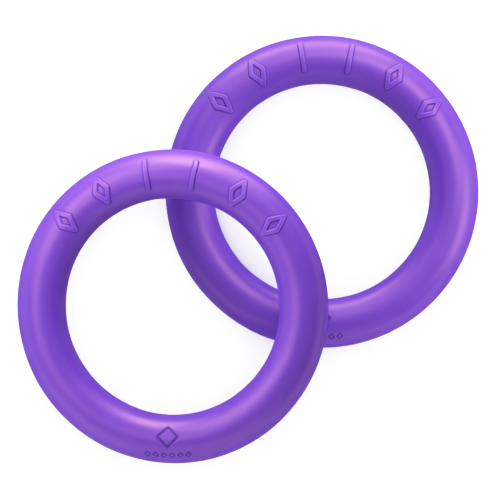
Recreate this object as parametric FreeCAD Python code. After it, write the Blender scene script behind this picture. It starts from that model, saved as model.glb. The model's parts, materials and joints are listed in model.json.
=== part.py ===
"""A pair of moulded foam grip rings. One lies flat, and the other leans on it.

Each ring is one solid piece of closed-cell foam with a round section, a fine mould line round
its inner and outer equators, six raised grip marks on its face and a recessed emblem opposite.
X and Y lie in the floor, Z is up, and the origin is at the middle of the pair's footprint.
"""

import FreeCAD
import Part

import math
import os

# Driving dimensions, in millimetres and degrees.
OUTER_D = 280.0
TUBE_D = 43.5
SPACING_X = 134.0  # from the leaning ring's centre to the flat ring's, seen from above
SPACING_Y = 105.0
CONTACT_GAP = 0.3  # between the two rings where one rests on the other

LEANING_TURN = -1.0  # how far each ring is turned about its own axis
FLAT_TURN = -1.5

MARK_PITCH = 20.4  # from one raised mark to the next, about the ring's axis
MARK_KINDS = ("lozenge", "lozenge", "bar", "bar", "lozenge", "lozenge")
MARK_LENGTH = 27.5
MARK_WIDTH = 16.0
MARK_STROKE = 4.2
MARK_HEIGHT = 1.2
MARK_SHIFT = 1.7  # the marks' middle, outwards from the crown of the section

EMBLEM_LENGTH = 20.4
EMBLEM_WIDTH = 20.4
EMBLEM_STROKE = 2.2
EMBLEM_SHIFT = -3.3
EMBLEM_DEPTH = 0.6
SMALL_COUNT = 6  # the row of small lozenges outside the emblem
SMALL_PITCH = 7.4
SMALL_LENGTH = 5.9
SMALL_WIDTH = 6.2
SMALL_STROKE = 1.2
SMALL_SHIFT = 13.2

MOULD_LINE_WIDTH = 1.0
MOULD_LINE_HEIGHT = 0.25
CORNER_ROUND = 1.2  # radius of a lozenge's corners, in plan
SMALL_CORNER_ROUND = 0.4

# Worked out from those.
TUBE_R = TUBE_D / 2
RING_R = OUTER_D / 2 - TUBE_R  # radius of the section's centreline
SPACING = math.hypot(SPACING_X, SPACING_Y)
LEAN_AZIMUTH = math.atan2(SPACING_Y, SPACING_X)  # the way the leaning ring rises

UP = FreeCAD.Vector(0, 0, 1)
ORIGIN = FreeCAD.Vector(0, 0, 0)


def line_gap(tilt):
    """The least distance between the two rings' centrelines, with the leaning ring at this tilt."""
    centre_z = RING_R * math.sin(tilt) + TUBE_R
    steps = 3600
    least = math.inf
    for i in range(steps):
        a = math.pi * i / steps  # the other half is its mirror image
        along = RING_R * math.cos(a) * math.cos(tilt) - SPACING
        across = RING_R * math.sin(a)
        height = centre_z + RING_R * math.cos(a) * math.sin(tilt) - TUBE_R
        least = min(least, math.hypot(math.hypot(along, across) - RING_R, height))
    return least


def leaning_tilt():
    """The tilt at which the leaning ring's underside comes down onto the flat ring."""
    low, high = 0.0, math.radians(45)
    for _ in range(40):
        middle = (low + high) / 2
        if line_gap(middle) < TUBE_D + CONTACT_GAP:
            low = middle
        else:
            high = middle
    return high


TILT = leaning_tilt()


def prism(points, corner_round, height):
    """An upright prism over a polygon, its upright edges rounded."""
    wire = Part.makePolygon(points + points[:1])
    solid = Part.Face(wire).extrude(UP * height)
    upright = [e for e in solid.Edges if abs(e.tangentAt(e.FirstParameter).z) > 0.99]
    return solid.makeFillet(corner_round, upright)


def lozenge(length, width, corner_round, height):
    """A prism over a lozenge, its length along Y."""
    corners = ((0, length / 2), (-width / 2, 0), (0, -length / 2), (width / 2, 0))
    return prism([FreeCAD.Vector(x, y, 0) for x, y in corners], corner_round, height)


def lozenge_frame(length, width, stroke, corner_round, height):
    """A lozenge with a smaller lozenge taken out, so that the stroke left is even."""
    reach = length * width / math.hypot(length, width)  # twice the centre's distance to a side
    inside = 1 - 2 * stroke / reach
    outer = lozenge(length, width, corner_round, height)
    inner = lozenge(length * inside, width * inside, corner_round * inside, height)
    return outer.cut(inner)


def bar(length, width, height):
    """A prism over a slot shape with round ends, its length along Y."""
    end_y = (length - width) / 2
    half = width / 2
    right = Part.LineSegment(FreeCAD.Vector(half, -end_y, 0), FreeCAD.Vector(half, end_y, 0))
    left = Part.LineSegment(FreeCAD.Vector(-half, end_y, 0), FreeCAD.Vector(-half, -end_y, 0))
    top = Part.Arc(
        FreeCAD.Vector(half, end_y, 0),
        FreeCAD.Vector(0, length / 2, 0),
        FreeCAD.Vector(-half, end_y, 0),
    )
    bottom = Part.Arc(
        FreeCAD.Vector(-half, -end_y, 0),
        FreeCAD.Vector(0, -length / 2, 0),
        FreeCAD.Vector(half, -end_y, 0),
    )
    wire = Part.Wire([edge.toShape() for edge in (right, top, left, bottom)])
    return Part.Face(wire).extrude(UP * height)


def at_angle(shape, angle, shift):
    """A shape drawn about the origin, moved onto the ring at an angle from +X, Y pointing outwards."""
    moved = shape.copy()
    moved.translate(FreeCAD.Vector(0, RING_R + shift, 0))
    moved.rotate(ORIGIN, UP, angle - 90)
    return moved


def torus(tube_r):
    return Part.makeTorus(RING_R, tube_r)


def mould_line(radius_in, radius_out):
    """A flat band round the ring's middle plane, which stands out of the section by the line's height."""
    outer = Part.makeCylinder(radius_out, MOULD_LINE_WIDTH)
    inner = Part.makeCylinder(radius_in, MOULD_LINE_WIDTH)
    band = outer.cut(inner)
    band.translate(FreeCAD.Vector(0, 0, -MOULD_LINE_WIDTH / 2))
    return band


def mould_lines():
    inside_r, outside_r = RING_R - TUBE_R, RING_R + TUBE_R
    root = TUBE_R / 4  # how deep each band starts in the foam
    return [
        mould_line(inside_r - MOULD_LINE_HEIGHT, inside_r + root),
        mould_line(outside_r - root, outside_r + MOULD_LINE_HEIGHT),
    ]


def grip_marks():
    """The six raised marks, centred on +Y, each following the section at the mark's height."""
    above = TUBE_D
    blanks = {
        "lozenge": lozenge_frame(MARK_LENGTH, MARK_WIDTH, MARK_STROKE, CORNER_ROUND, above),
        "bar": bar(MARK_LENGTH, MARK_STROKE, above),
    }
    shell = torus(TUBE_R + MARK_HEIGHT)
    marks = []
    for i, kind in enumerate(MARK_KINDS):
        angle = 90 + MARK_PITCH * ((len(MARK_KINDS) - 1) / 2 - i)
        marks.append(at_angle(blanks[kind], angle, MARK_SHIFT).common(shell))
    return marks


def emblem_tools():
    """Prisms that cut the recessed emblem and its row of small lozenges, opposite the marks."""
    above = TUBE_D
    frame = lozenge_frame(EMBLEM_LENGTH, EMBLEM_WIDTH, EMBLEM_STROKE, CORNER_ROUND, above)
    small = lozenge_frame(SMALL_LENGTH, SMALL_WIDTH, SMALL_STROKE, SMALL_CORNER_ROUND, above)
    tools = [at_angle(frame, 270, EMBLEM_SHIFT)]
    for i in range(SMALL_COUNT):
        arc = SMALL_PITCH * (i - (SMALL_COUNT - 1) / 2)
        angle = 270 + math.degrees(arc / (RING_R + SMALL_SHIFT))
        tools.append(at_angle(small, angle, SMALL_SHIFT))
    return tools


def ring():
    """One ring about the origin, its axis along Z, the marks' middle at +Y."""
    solid = torus(TUBE_R).fuse(mould_lines() + grip_marks())
    core = torus(TUBE_R - EMBLEM_DEPTH)
    return solid.cut([tool.cut(core) for tool in emblem_tools()])


def reach(normal_part):
    """How far a ring's surface reaches from its centre along an axis, from its normal's part on it."""
    in_plane = math.sqrt(1 - normal_part**2)
    section = RING_R * in_plane + TUBE_R
    line = (OUTER_D / 2 + MOULD_LINE_HEIGHT) * in_plane + MOULD_LINE_WIDTH / 2 * abs(normal_part)
    return max(section, line)


def placed_rings():
    """The two rings on the floor, with the origin at the middle of their footprint."""
    sin_tilt = math.sin(TILT)
    low_x = -reach(sin_tilt * math.cos(LEAN_AZIMUTH))
    low_y = -reach(sin_tilt * math.sin(LEAN_AZIMUTH))
    high_x = SPACING_X + reach(0)
    high_y = SPACING_Y + reach(0)
    leaning_at = FreeCAD.Vector(
        -(low_x + high_x) / 2, -(low_y + high_y) / 2, RING_R * sin_tilt + TUBE_R
    )
    flat_at = FreeCAD.Vector(leaning_at.x + SPACING_X, leaning_at.y + SPACING_Y, TUBE_R)

    leaning = ring()
    flat = leaning.copy()
    leaning.rotate(ORIGIN, UP, LEANING_TURN)
    hinge_line = FreeCAD.Vector(math.sin(LEAN_AZIMUTH), -math.cos(LEAN_AZIMUTH), 0)
    leaning.rotate(ORIGIN, hinge_line, math.degrees(TILT))
    leaning.translate(leaning_at)
    flat.rotate(ORIGIN, UP, FLAT_TURN)
    flat.translate(flat_at)
    return {"leaning_ring": leaning, "flat_ring": flat}


def main():
    os.makedirs("parts", exist_ok=True)
    rings = placed_rings()
    for name, shape in rings.items():
        solids = shape.Solids
        print(name, "solids", len(solids), "volume", round(shape.Volume), "valid", shape.isValid())
        box = shape.optimalBoundingBox()
        print("  low corner", round(box.XMin, 2), round(box.YMin, 2), round(box.ZMin, 2))
        print("  high corner", round(box.XMax, 2), round(box.YMax, 2), round(box.ZMax, 2))
        Part.makeCompound(solids).exportStep(f"parts/{name}.step")
    print("tilt", round(math.degrees(TILT), 3))
    print("gap between the rings", round(rings["leaning_ring"].distToShape(rings["flat_ring"])[0], 3))


main()
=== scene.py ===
"""The finished look of a pair of moulded foam grip rings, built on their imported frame.

Everything is in metres in the row's frame: X and Y lie in the floor, Z is up. Each ring is drawn
about its own axis, the raised marks' middle at +Y, and then put where the frame says.
A place on its skin is given by two angles: the turn about the ring's axis, from +X, and the turn
about the section, from its crown, outwards positive.
"""

import json
import math

import bpy
import numpy as np
from mathutils import Matrix, Vector


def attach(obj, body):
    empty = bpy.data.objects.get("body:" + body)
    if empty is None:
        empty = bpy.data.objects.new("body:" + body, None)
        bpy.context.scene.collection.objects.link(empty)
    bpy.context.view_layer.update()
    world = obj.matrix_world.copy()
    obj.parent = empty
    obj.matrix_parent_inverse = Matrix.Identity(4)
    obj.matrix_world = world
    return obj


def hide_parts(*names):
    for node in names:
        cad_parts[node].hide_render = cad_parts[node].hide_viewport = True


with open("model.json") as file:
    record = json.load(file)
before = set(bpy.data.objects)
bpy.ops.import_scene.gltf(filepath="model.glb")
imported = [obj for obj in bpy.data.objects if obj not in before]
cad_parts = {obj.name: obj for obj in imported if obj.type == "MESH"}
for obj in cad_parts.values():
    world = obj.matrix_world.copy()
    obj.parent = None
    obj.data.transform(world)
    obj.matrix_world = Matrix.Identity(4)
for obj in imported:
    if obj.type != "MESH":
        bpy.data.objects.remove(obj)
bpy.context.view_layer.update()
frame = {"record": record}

MM = 0.001
MOUNTS = {mount["name"]: mount for mount in frame["record"]["mounts"]}

# The section and the ring. An eye's radius in the frame is to the inside of its mould line.
MOULD_LINE_HEIGHT = 0.25 * MM
TUBE_R = MOUNTS["flat_ring_grip"]["dims"]["r_mm"] * MM
EYE_R = MOUNTS["flat_ring_eye"]["dims"]["r_mm"] * MM + MOULD_LINE_HEIGHT
RING_R = EYE_R + TUBE_R

# How far each ring is turned about its own axis, in degrees.
LEANING_TURN = -1.0
FLAT_TURN = -1.5

# The six raised marks. Lengths are measured along the skin, and turns and angles are in degrees.
MARK_TURN = 90.0
MARK_PITCH = 20.4
MARK_KINDS = ("lozenge", "lozenge", "bar", "bar", "lozenge", "lozenge")
MARK_FROM_CROWN = 5.5
MARK_LENGTH = 29.0 * MM
MARK_WIDTH = 16.0 * MM
MARK_STROKE = 4.2 * MM
MARK_HEIGHT = 1.2 * MM
MARK_EDGE = 0.8 * MM  # the width over which a mark's side rises
MARK_FOOT = 0.2 * MM  # how deep the skin is drawn in round a mark's foot
FOOT_OUT = 0.6 * MARK_EDGE  # how far outside a mark's outline its foot is deepest

# The recessed emblem, opposite the marks, with a row of small lozenges outside it.
EMBLEM_TURN = 270.0
EMBLEM_FROM_CROWN = -9.0
EMBLEM_SIZE = 20.4 * MM
EMBLEM_STROKE = 2.2 * MM
SMALL_COUNT = 6
SMALL_FROM_CROWN = 37.5
SMALL_PITCH = 7.4 * MM
SMALL_LENGTH = 7.4 * MM
SMALL_WIDTH = 6.2 * MM
SMALL_STROKE = 1.2 * MM
EMBLEM_DEPTH = 0.6 * MM
EMBLEM_EDGE = 0.6 * MM

MOULD_LINE_SPREAD = 0.35 * MM  # half the line's width, where it has fallen to a third

# The skin's grid: how far apart its rows and columns are, and how far the fine part reaches.
FINE = 0.38 * MM
COARSE = 3.4 * MM
LINE_FINE = 0.20 * MM
MARK_ROOM = 1.0 * MM  # past each side of a mark
LINE_ROOM = 0.9 * MM  # past each side of the mould line's middle
FACE = (-38.0, 50.0)  # degrees of the section, from its crown, that hold the marks and emblem
TURN_RAMP = 6.0 * MM  # the lengths over which fine turns to coarse
FACE_RAMP = 8.0 * MM
LINE_RAMP = 6.0 * MM
INNER_SHARE = 0.9  # of the centreline's length, where a mark's inner end lies
SPACING_STEPS = 20000  # in working out where rows and columns go

# The foam.
FOAM = (0.134, 0.0385, 0.515)
HOLLOW_SHADE = (0.050, 0.010, 0.31)  # painted shade, in the emblem and round the marks' feet
SHOULDER_HIGHLIGHT = (0.205, 0.065, 0.70)  # a painted highlight, on the marks' shoulders
SHADES = (0.9, 1.1)  # the darkest and palest clouds in it, as shares of its colour
RELIEF_WIDTH = 0.5 * MM  # of the foot, drawn in and given painted shade, and of the painted highlight on the shoulder
SATIN = (0.34, 0.44)  # the skin's roughness, from its smoothest to its roughest
DULLER = 0.35  # how much rougher it is in a hollow
FOAM_IOR = 1.7
FOAM_TINT = (0.71, 0.36, 0.39, 1)  # of its gloss, seen straight on

# The floor.
FLOOR_SIZE = 400.0
FLOOR_COLOUR = (0.86, 0.86, 0.87, 1)

# The studio. Each pair of the sky's is the sine of a height above the horizon and its brightness.
BOX_DISTANCE = 0.9
SKY = (
    (-0.05, 0.0),
    (-0.02, 2.0),
    (0.01, 2.0),
    (0.02, 0.7),
    (0.2, 0.7),
    (0.3, 0.0),
    (0.55, 0.0),
    (0.65, 0.4),
)
GROUND_GLOW = 8.9
GLOW_SPREAD = 110.0  # degrees, for a soft shadow

# The picture's tones, as pairs of a brightness and what is shown: the same up to a half, then
# bending over to reach full white at a brightness of two.
WHITE = 2.0
SHOULDER = ((0.25, 0.25), (0.5, 0.5), (0.75, 0.707), (1.0, 0.833), (1.25, 0.909), (1.5, 0.955))

# The camera looks almost straight down, from far off. Its tilts are in degrees.
CAMERA_AIM = Vector((0.002, 0.0007, 0))
CAMERA_TILT_X = -1.12
CAMERA_TILT_Y = -3.95
CAMERA_DISTANCE = 6.0
VIEW_WIDTH = 0.4488  # of the floor, across the picture
FARTHEST_SEEN = 100.0


def spaced(length, spacing):
    """Places along a closed length, as far apart as spacing(place) says."""
    place = np.linspace(0, length, SPACING_STEPS + 1)
    density = 1 / spacing(place)
    step = place[1]
    count = np.concatenate([[0], np.cumsum((density[1:] + density[:-1]) / 2) * step])
    total = round(count[-1])
    return np.interp(np.arange(total) * count[-1] / total, count, place)


def wrapped(angle):
    """An angle in radians, brought between minus pi and pi."""
    return (angle + np.pi) % (2 * np.pi) - np.pi


def graded(distance, fine, coarse, ramp):
    """A spacing that is fine up to distance zero, and coarse once distance has passed the ramp."""
    share = np.clip(distance / ramp, 0, 1)
    return fine + (coarse - fine) * share


def mark_turns():
    middle = (len(MARK_KINDS) - 1) / 2
    return [math.radians(MARK_TURN + MARK_PITCH * (middle - i)) for i in range(len(MARK_KINDS))]


def turn_spacing(place):
    """How far apart the skin's columns are, at a place along the ring's centreline."""
    turn = place / RING_R
    clear = np.full_like(place, np.inf)
    for middle, kind in zip(mark_turns(), MARK_KINDS):
        half = (MARK_WIDTH if kind == "lozenge" else MARK_STROKE) / 2 + MARK_ROOM
        clear = np.minimum(clear, abs(wrapped(turn - middle)) * RING_R * INNER_SHARE - half)
    half = SMALL_PITCH * SMALL_COUNT / 2 + MARK_ROOM
    clear = np.minimum(clear, abs(wrapped(turn - math.radians(EMBLEM_TURN))) * RING_R - half)
    return graded(clear, FINE, COARSE, TURN_RAMP)


def section_spacing(place):
    """How far apart the skin's rows are, at a place round the section from its crown."""
    around = wrapped(place / TUBE_R)
    face_low, face_high = math.radians(FACE[0]), math.radians(FACE[1])
    off_face = np.maximum(face_low - around, around - face_high) * TUBE_R
    off_line = abs(abs(around) - math.pi / 2) * TUBE_R - LINE_ROOM
    by_face = graded(off_face, FINE, COARSE, FACE_RAMP)
    by_line = graded(off_line, LINE_FINE, COARSE, LINE_RAMP)
    return np.minimum(by_face, by_line)


def lozenge_distance(x, y, half_x, half_y):
    """How far points are outside a lozenge; negative inside it."""
    x, y = abs(x), abs(y)
    along = (half_x - 2 * x) * half_x - (half_y - 2 * y) * half_y
    along = np.clip(along / (half_x**2 + half_y**2), -1, 1)
    near = np.hypot(x - half_x * (1 - along) / 2, y - half_y * (1 + along) / 2)
    return near * np.sign(x * half_y + y * half_x - half_x * half_y)


def lozenge_stroke_distance(x, y, width, length, stroke):
    """How far points are outside a stroke of even width that draws a lozenge."""
    half_x, half_y = (width - stroke) / 2, (length - stroke) / 2
    return abs(lozenge_distance(x, y, half_x, half_y)) - stroke / 2


def bar_distance(x, y, length, width):
    """How far points are outside a bar with round ends."""
    beyond = np.maximum(abs(y) - (length - width) / 2, 0)
    return np.hypot(x, beyond) - width / 2


def rise(distance, edge):
    """1 inside a shape and 0 outside, passing smoothly from one to the other over the edge."""
    share = np.clip(0.5 - distance / edge, 0, 1)
    return share * share * (3 - 2 * share)


def line(distance, middle, width):
    """1 where a distance is at the middle, falling to nothing over the width on each side."""
    return np.exp(-(((distance - middle) / width) ** 2))


def marks_distance(turn, around):
    """How far each point of the skin is outside the nearest raised mark; negative on a mark."""
    nearest = np.full_like(turn, np.inf)
    y = TUBE_R * (around - math.radians(MARK_FROM_CROWN))
    for middle, kind in zip(mark_turns(), MARK_KINDS):
        x = wrapped(turn - middle) * (RING_R + TUBE_R * np.sin(around))
        if kind == "lozenge":
            distance = lozenge_stroke_distance(x, y, MARK_WIDTH, MARK_LENGTH, MARK_STROKE)
        else:
            distance = bar_distance(x, y, MARK_LENGTH, MARK_STROKE)
        nearest = np.minimum(nearest, distance)
    return nearest


def emblem_distance(turn, around):
    """How far each point of the skin is outside the recessed emblem; negative in a recess."""
    x = wrapped(turn - math.radians(EMBLEM_TURN)) * (RING_R + TUBE_R * np.sin(around))
    y = TUBE_R * (around - math.radians(EMBLEM_FROM_CROWN))
    nearest = lozenge_stroke_distance(x, y, EMBLEM_SIZE, EMBLEM_SIZE, EMBLEM_STROKE)
    y = TUBE_R * (around - math.radians(SMALL_FROM_CROWN))
    for i in range(SMALL_COUNT):
        small_x = x - SMALL_PITCH * (i - (SMALL_COUNT - 1) / 2)
        distance = lozenge_stroke_distance(small_x, y, SMALL_WIDTH, SMALL_LENGTH, SMALL_STROKE)
        nearest = np.minimum(nearest, distance)
    return nearest


def mould_line(turn, around):
    """The parting line's height: a fine bead round both equators that comes and goes a little."""
    off = (abs(around) - math.pi / 2) * TUBE_R
    wander = 0.72 + 0.16 * np.sin(9 * turn + 0.7) + 0.12 * np.sin(23 * turn + 2.1)
    return MOULD_LINE_HEIGHT * wander * np.exp(-((off / MOULD_LINE_SPREAD) ** 2))


def unevenness(turn, around):
    """The slow waves of a foam moulding, a tenth of a millimetre high, and faint runs along it."""
    long_wave = np.sin(5 * turn + 0.4 + 0.8 * np.sin(around))
    short_wave = np.sin(11 * turn + 1.9) * np.cos(2 * around + 0.5)
    run = np.sin(13 * around + 1.2 * np.sin(3 * turn + 0.5)) * (0.6 + 0.4 * np.sin(7 * turn + 1.0))
    return 0.06 * MM * long_wave + 0.05 * MM * short_wave + 0.03 * MM * run


def foam_ring(name, body, placement):
    """One ring's skin, as a closed grid that is finest where the marks and the emblem are."""
    turns = spaced(2 * math.pi * RING_R, turn_spacing) / RING_R
    arounds = spaced(2 * math.pi * TUBE_R, section_spacing) / TUBE_R
    turn, around = np.meshgrid(turns, wrapped(arounds), indexing="ij")
    off_mark, off_emblem = marks_distance(turn, around), emblem_distance(turn, around)
    up, down = rise(off_mark, MARK_EDGE), rise(off_emblem, EMBLEM_EDGE)
    # A foot that is drawn in and given painted shade, and a shoulder that is given a painted
    # highlight.
    foot = line(off_mark, FOOT_OUT, RELIEF_WIDTH)
    shoulder_highlight = line(off_mark, -MARK_EDGE, RELIEF_WIDTH)
    radius = TUBE_R + up * MARK_HEIGHT - foot * MARK_FOOT - down * EMBLEM_DEPTH
    radius += mould_line(turn, around) + unevenness(turn, around)
    across = RING_R + radius * np.sin(around)
    points = np.stack([across * np.cos(turn), across * np.sin(turn), radius * np.cos(around)], -1)
    points = points.reshape(-1, 3) @ np.array(placement.to_3x3()).T
    points += np.array(placement.translation)

    columns, rows = turn.shape
    index = np.arange(columns * rows).reshape(columns, rows)
    next_row = np.roll(index, -1, axis=1)
    quads = [index, next_row, np.roll(next_row, -1, axis=0), np.roll(index, -1, axis=0)]
    quads = np.stack(quads, -1).reshape(-1, 4)
    mesh = bpy.data.meshes.new(name)
    mesh.from_pydata(points.tolist(), [], quads.tolist())
    mesh.shade_smooth()
    # The painted shade in the hollows and the painted highlight on the marks' shoulders, kept for
    # the material.
    relief_shading = mesh.attributes.new("relief_shading", "FLOAT", "POINT")
    relief_shading.data.foreach_set("value", (shoulder_highlight - np.maximum(foot, down)).ravel())

    ring = bpy.data.objects.new(name, mesh)
    bpy.context.scene.collection.objects.link(ring)
    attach(ring, body)
    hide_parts(body)
    return ring


def placed(mount, turn):
    """Where a ring drawn about its own axis goes: to its eye's middle, leaning as its axis does."""
    axis = Vector(MOUNTS[mount]["axis"]).normalized()
    lean = Vector((0, 0, 1)).rotation_difference(axis).to_matrix().to_4x4()
    own_turn = Matrix.Rotation(math.radians(turn), 4, "Z")
    return Matrix.Translation(MOUNTS[mount]["pos_m"]) @ lean @ own_turn


class Nodes:
    """A short way to write a node tree."""

    def __init__(self, owner):
        owner.use_nodes = True
        self.tree = owner.node_tree
        self.tree.nodes.clear()

    def add(self, kind, **settings):
        node = self.tree.nodes.new(kind)
        for key, value in settings.items():
            if key in node.inputs:
                node.inputs[key].default_value = value
            else:
                setattr(node, key, value)
        return node

    def join(self, source, target):
        self.tree.links.new(source, target)

    def remap(self, source, from_low, from_high, to_low, to_high):
        """A value moved from one range to another, and held within it."""
        node = self.add("ShaderNodeMapRange")
        for i, value in enumerate((from_low, from_high, to_low, to_high), start=1):
            node.inputs[i].default_value = value
        self.join(source, node.inputs["Value"])
        return node.outputs["Result"]

    def blend(self, first, second, share):
        """Passes from one colour to another as the share goes from 0 to 1."""
        node = self.add("ShaderNodeMix", data_type="RGBA")
        for socket, colour in ((node.inputs["A"], first), (node.inputs["B"], second)):
            if isinstance(colour, bpy.types.NodeSocket):
                self.join(colour, socket)
            else:
                socket.default_value = (*colour, 1)
        self.join(share, node.inputs["Factor"])
        return node.outputs["Result"]


def foam_material():
    """Closed-cell foam with a moulded skin: satin, finely grained, its colour slightly uneven, with
    painted shade in its hollows and a painted highlight on the marks' shoulders.
    """
    material = bpy.data.materials.new("moulded_foam")
    n = Nodes(material)
    out = n.add("ShaderNodeOutputMaterial")
    shader = n.add("ShaderNodeBsdfPrincipled")
    n.join(shader.outputs["BSDF"], out.inputs["Surface"])
    place = n.add("ShaderNodeTexCoord").outputs["Object"]

    # Colour: slow clouds in the pigment.
    clouds = n.add("ShaderNodeTexNoise", Scale=32.0, Detail=4.0)
    n.join(place, clouds.inputs["Vector"])
    darkest, palest = ([share * c for c in FOAM] for share in SHADES)
    shade = n.blend(darkest, palest, clouds.outputs["Fac"])

    # Painted shade in the hollows, and a painted highlight on the marks' shoulders.
    relief_shading = n.add("ShaderNodeAttribute", attribute_name="relief_shading").outputs["Fac"]
    with_painted_shade = n.blend(shade, HOLLOW_SHADE, n.remap(relief_shading, 0, -1, 0, 1))
    with_painted_highlight = n.blend(with_painted_shade, SHOULDER_HIGHLIGHT, n.remap(relief_shading, 0, 1, 0, 1))
    n.join(with_painted_highlight, shader.inputs["Base Color"])

    # Bump: a fine grain from the mould, and a soft orange peel.
    grain = n.add("ShaderNodeTexNoise", Scale=1900.0, Detail=2.0)
    peel = n.add("ShaderNodeTexNoise", Scale=240.0, Detail=1.0)
    n.join(place, grain.inputs["Vector"])
    n.join(place, peel.inputs["Vector"])
    fine = n.add("ShaderNodeBump", Strength=0.2, Distance=0.02 * MM)
    soft = n.add("ShaderNodeBump", Strength=0.5, Distance=0.05 * MM)
    n.join(peel.outputs["Fac"], soft.inputs["Height"])
    n.join(grain.outputs["Fac"], fine.inputs["Height"])
    n.join(soft.outputs["Normal"], fine.inputs["Normal"])
    n.join(fine.outputs["Normal"], shader.inputs["Normal"])

    # Roughness: satin, a little uneven, and duller in the hollows.
    roughness = n.add("ShaderNodeMath", operation="ADD")
    n.join(n.remap(clouds.outputs["Fac"], 0, 1, *SATIN), roughness.inputs[0])
    n.join(n.remap(relief_shading, 0, -1, 0, DULLER), roughness.inputs[1])
    n.join(roughness.outputs["Value"], shader.inputs["Roughness"])

    # Gloss: stronger than a plain skin's, and tinted by the pigment.
    shader.inputs["IOR"].default_value = FOAM_IOR
    shader.inputs["Specular IOR Level"].default_value = 1.0
    shader.inputs["Specular Tint"].default_value = FOAM_TINT
    return material


def floor_material():
    material = bpy.data.materials.new("pale_floor")
    n = Nodes(material)
    out = n.add("ShaderNodeOutputMaterial")
    shader = n.add("ShaderNodeBsdfPrincipled", Roughness=0.9)
    shader.inputs["Base Color"].default_value = FLOOR_COLOUR
    shader.inputs["Specular IOR Level"].default_value = 0.1
    n.join(shader.outputs["BSDF"], out.inputs["Surface"])
    return material


def floor():
    half = FLOOR_SIZE / 2
    corners = [(-half, -half, 0), (half, -half, 0), (half, half, 0), (-half, half, 0)]
    mesh = bpy.data.meshes.new("floor")
    mesh.from_pydata(corners, [], [(0, 1, 2, 3)])
    mesh.materials.append(floor_material())
    plane = bpy.data.objects.new("floor", mesh)
    bpy.context.scene.collection.objects.link(plane)
    plane.visible_glossy = False
    return plane


def place_light(light, place, back, only=None, shaded=False):
    """Puts a light at a place with its back turned a given way.

    A light kept to only one object doesn't light the others, and isn't shaded by them unless asked.
    """
    box = bpy.data.objects.new(light.name, light)
    box.location = place
    box.rotation_euler = back.to_track_quat("Z", "Y").to_euler()
    box.visible_camera = False
    if only:
        lit = bpy.data.collections.new(light.name)
        lit.objects.link(only)
        box.light_linking.receiver_collection = lit
        if not shaded:
            box.light_linking.blocker_collection = lit
    bpy.context.scene.collection.objects.link(box)


def soft_box(name, aim, turn, rise, width, height, power, only=None):
    """A rectangular light that faces a point, at a turn from +X and a rise above the floor."""
    light = bpy.data.lights.new(name, "AREA")
    light.shape = "RECTANGLE"
    light.size, light.size_y = width, height
    light.energy = power
    turn, rise = math.radians(turn), math.radians(rise)
    level = math.cos(rise)
    back = Vector((level * math.cos(turn), level * math.sin(turn), math.sin(rise)))
    place_light(light, Vector(aim) + BOX_DISTANCE * back, back, only)


def ground_glow(ground):
    """Even light from above that keeps the floor white, with a soft shadow under the rings."""
    light = bpy.data.lights.new("ground_glow", "SUN")
    light.energy = GROUND_GLOW
    light.angle = math.radians(GLOW_SPREAD)
    place_light(light, (0, 0, 1), Vector((0, 0, 1)), only=ground, shaded=True)


def sky():
    """White at the horizon, a pale band above it, then dark, with a soft grey overhead."""
    world = bpy.data.worlds.new("studio")
    bpy.context.scene.world = world
    n = Nodes(world)
    out = n.add("ShaderNodeOutputWorld")
    glow = n.add("ShaderNodeBackground", Color=(1, 1, 1, 1))
    place = n.add("ShaderNodeTexCoord").outputs["Generated"]
    apart = n.add("ShaderNodeSeparateXYZ")
    n.join(place, apart.inputs["Vector"])
    height = n.add("ShaderNodeValToRGB")
    n.join(n.remap(apart.outputs["Z"], -1, 1, 0, 1), height.inputs["Fac"])
    stops = height.color_ramp.elements
    while len(stops) < len(SKY):
        stops.new(1)
    for stop, (sine, brightness) in zip(stops, SKY):
        stop.position = (sine + 1) / 2
        stop.color = (brightness, brightness, brightness, 1)
    n.join(height.outputs["Color"], glow.inputs["Strength"])
    n.join(glow.outputs["Background"], out.inputs["Surface"])


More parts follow.
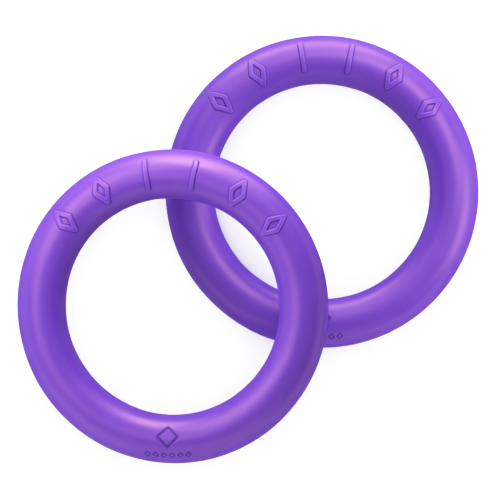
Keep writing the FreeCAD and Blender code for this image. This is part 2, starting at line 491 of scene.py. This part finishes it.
def studio(leaning, flat):
    """Lights beyond the marks, key lights for each ring from its own side, and low fills."""
    leaning_aim = MOUNTS["leaning_ring_eye"]["pos_m"]
    flat_aim = MOUNTS["flat_ring_eye"]["pos_m"]
    centre = (0, 0, 0)
    soft_box("far_low", centre, 90, 14, 1.0, 0.36, 5.3)
    soft_box("far_middle", centre, 90, 34, 1.0, 0.30, 1.6)
    soft_box("far_high", centre, 90, 56, 1.0, 0.30, 1.2)
    soft_box("near_fill", centre, 270, 30, 0.8, 0.30, 0.96)
    soft_box("left_fill", centre, 225, 20, 0.5, 0.30, 0.62)
    soft_box("leaning_far", leaning_aim, 95, 30, 0.36, 0.30, 3.7, only=leaning)
    soft_box("leaning_key", leaning_aim, 152, 40, 0.60, 0.50, 3.6, only=leaning)
    soft_box("leaning_side", leaning_aim, 188, 56, 0.34, 0.45, 1.3, only=leaning)
    soft_box("flat_key", flat_aim, -6, 28, 0.60, 0.45, 3.3, only=flat)
    soft_box("flat_high", flat_aim, 45, 56, 0.60, 0.50, 3.2, only=flat)
    soft_box("flat_side", flat_aim, 150, 56, 0.36, 0.30, 0.15, only=flat)


def tones():
    """Plain colours, with highlights that bend over softly instead of clipping."""
    view = bpy.context.scene.view_settings
    view.view_transform = "Standard"
    view.use_curve_mapping = True
    view.curve_mapping.white_level = (WHITE, WHITE, WHITE)
    all_colours = view.curve_mapping.curves[3]
    for brightness, shown in SHOULDER:
        all_colours.points.new(brightness / WHITE, shown)
    view.curve_mapping.update()


def camera():
    """Looks down from just below and left of straight above, the row's Y up the picture."""
    lens = bpy.data.cameras.new("camera")
    lens.lens = lens.sensor_width * CAMERA_DISTANCE / VIEW_WIDTH
    lens.clip_end = FARTHEST_SEEN
    back = Vector((math.sin(math.radians(CAMERA_TILT_X)), math.sin(math.radians(CAMERA_TILT_Y)), 0))
    back.z = math.sqrt(1 - back.length_squared)
    up = (Vector((0, 1, 0)) - back * back.y).normalized()
    turn = Matrix((up.cross(back), up, back)).transposed().to_4x4()
    eye = bpy.data.objects.new("camera", lens)
    eye.matrix_world = Matrix.Translation(CAMERA_AIM + back * CAMERA_DISTANCE) @ turn
    bpy.context.scene.collection.objects.link(eye)
    bpy.context.scene.camera = eye


camera()
foam = foam_material()
rings = [
    foam_ring("leaning_foam_ring", "leaning_ring", placed("leaning_ring_eye", LEANING_TURN)),
    foam_ring("flat_foam_ring", "flat_ring", placed("flat_ring_eye", FLAT_TURN)),
]
for ring in rings:
    ring.data.materials.append(foam)
sky()
ground_glow(floor())
studio(*rings)
tones()
